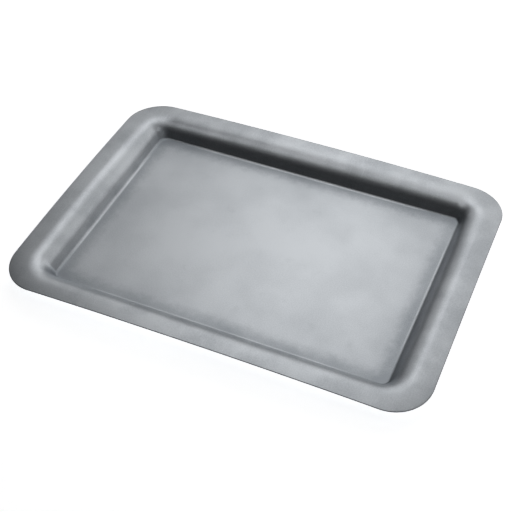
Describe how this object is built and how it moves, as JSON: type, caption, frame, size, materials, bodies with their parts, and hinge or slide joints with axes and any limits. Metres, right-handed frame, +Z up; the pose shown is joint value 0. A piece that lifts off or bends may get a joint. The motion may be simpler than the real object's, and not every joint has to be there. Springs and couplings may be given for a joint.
{
  "type": "developing tray",
  "caption": "Shallow rectangular tray pressed from one sheet of satin steel, with steep walls, a wide soft shoulder and a gently drooping flange with rounded corners.",
  "frame": {"origin": "under the middle of the floor, on the face that the tray stands on", "axes": "+X along the tray's long side, +Y along its short side, +Z up out of the well"},
  "size_m": [0.38, 0.2764, 0.0178],
  "materials": {
    "satin_steel": "satin, finely blasted cool grey, with faint cloudy staining and hairline scratches"
  },
  "bodies": {
    "root": {"pressed_tray": "satin_steel"}
  },
  "joints": []
}
